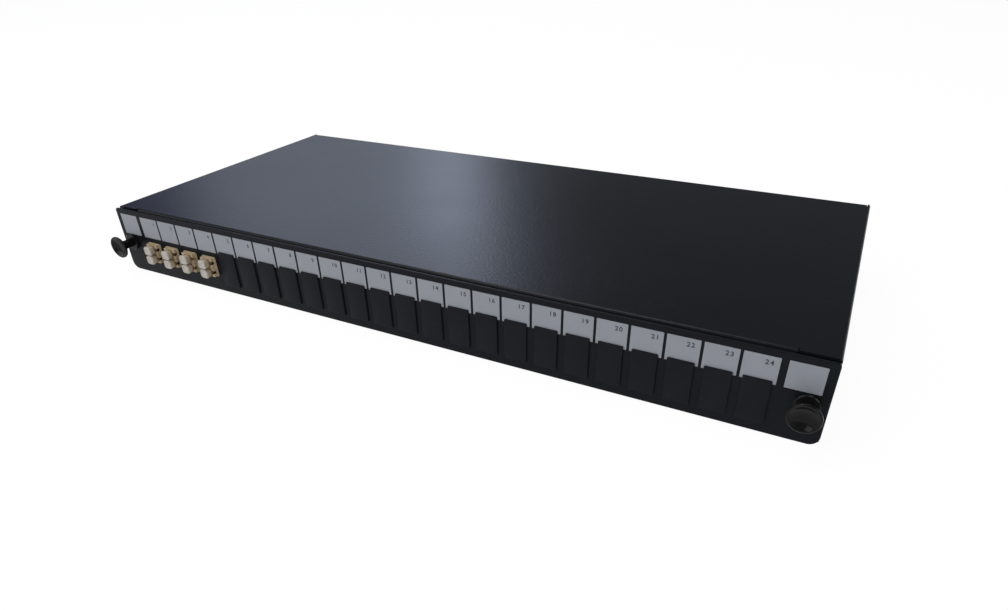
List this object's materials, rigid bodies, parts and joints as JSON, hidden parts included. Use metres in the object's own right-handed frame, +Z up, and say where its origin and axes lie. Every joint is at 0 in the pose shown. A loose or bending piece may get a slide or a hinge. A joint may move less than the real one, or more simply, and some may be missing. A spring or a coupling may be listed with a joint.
{
  "type": "fibre patch panel",
  "caption": "Flat black steel rack panel with a sliding drawer for optical fibre, a slim fascia with a row of ports, capped duplex adapters, blanks and push-pull latches.",
  "frame": {"origin": "centre of the base's underside", "axes": "+X along the front to the right as seen from the front, +Y to the rear, +Z up"},
  "size_m": [0.442, 0.2144, 0.0436],
  "materials": {
    "powder_coat": "satin black powder coat with a fine orange peel",
    "zinc_steel": "zinc-plated sheet steel, dull",
    "spring_steel": "bright spring steel",
    "blank_plastic": "black moulded plastic, finely grained",
    "latch_plastic": "black nylon, slightly glossy on the rim",
    "adapter_plastic": "beige moulded plastic",
    "cap_plastic": "ivory soft plastic",
    "label_card": "pale grey printed labels on the fascia",
    "grommet_rubber": "black rubber",
    "glide_nylon": "natural white nylon",
    "cassette_plastic": "grey moulded plastic",
    "lid_plastic": "smoke grey glossy plastic",
    "comb_plastic": "white plastic"
  },
  "bodies": {
    "housing": {"outer_cover": "powder_coat", "housing_base": "powder_coat", "left_rail": "zinc_steel", "right_rail": "zinc_steel", "cable_grommets": "grommet_rubber"},
    "tray": {"fascia": "powder_coat", "tray_pan": "powder_coat", "left_glide": "glide_nylon", "right_glide": "glide_nylon", "adapter_01": "adapter_plastic", "adapter_clip_01": "spring_steel", "rear_cap_01": "cap_plastic", "dust_cap_01_upper": "cap_plastic", "dust_cap_01_lower": "cap_plastic", "adapter_02": "adapter_plastic", "adapter_clip_02": "spring_steel", "rear_cap_02": "cap_plastic", "dust_cap_02_upper": "cap_plastic", "dust_cap_02_lower": "cap_plastic", "adapter_03": "adapter_plastic", "adapter_clip_03": "spring_steel", "rear_cap_03": "cap_plastic", "dust_cap_03_upper": "cap_plastic", "dust_cap_03_lower": "cap_plastic", "adapter_04": "adapter_plastic", "adapter_clip_04": "spring_steel", "rear_cap_04": "cap_plastic", "dust_cap_04_upper": "cap_plastic", "dust_cap_04_lower": "cap_plastic", "blank_05": "blank_plastic", "blank_06": "blank_plastic", "blank_07": "blank_plastic", "blank_08": "blank_plastic", "blank_09": "blank_plastic", "blank_10": "blank_plastic", "blank_11": "blank_plastic", "blank_12": "blank_plastic", "blank_13": "blank_plastic", "blank_14": "blank_plastic", "blank_15": "blank_plastic", "blank_16": "blank_plastic", "blank_17": "blank_plastic", "blank_18": "blank_plastic", "blank_19": "blank_plastic", "blank_20": "blank_plastic", "blank_21": "blank_plastic", "blank_22": "blank_plastic", "blank_23": "blank_plastic", "blank_24": "blank_plastic", "cassette_base": "cassette_plastic", "cassette_lid": "lid_plastic", "splice_comb": "comb_plastic", "latch_collars": "latch_plastic"},
    "left_latch": {"left_latch_knob": "latch_plastic"},
    "right_latch": {"right_latch_knob": "latch_plastic"}
  },
  "joints": [
    {"name": "tray_slide", "type": "slide", "parent": "housing", "child": "tray", "axis": [0, -1, 0], "range_m": [0, 0.14]},
    {"name": "left_latch_push", "type": "slide", "parent": "tray", "child": "left_latch", "axis": [0, 1, 0], "range_m": [0, 0.0042]},
    {"name": "right_latch_push", "type": "slide", "parent": "tray", "child": "right_latch", "axis": [0, 1, 0], "range_m": [0, 0.0042]}
  ]
}
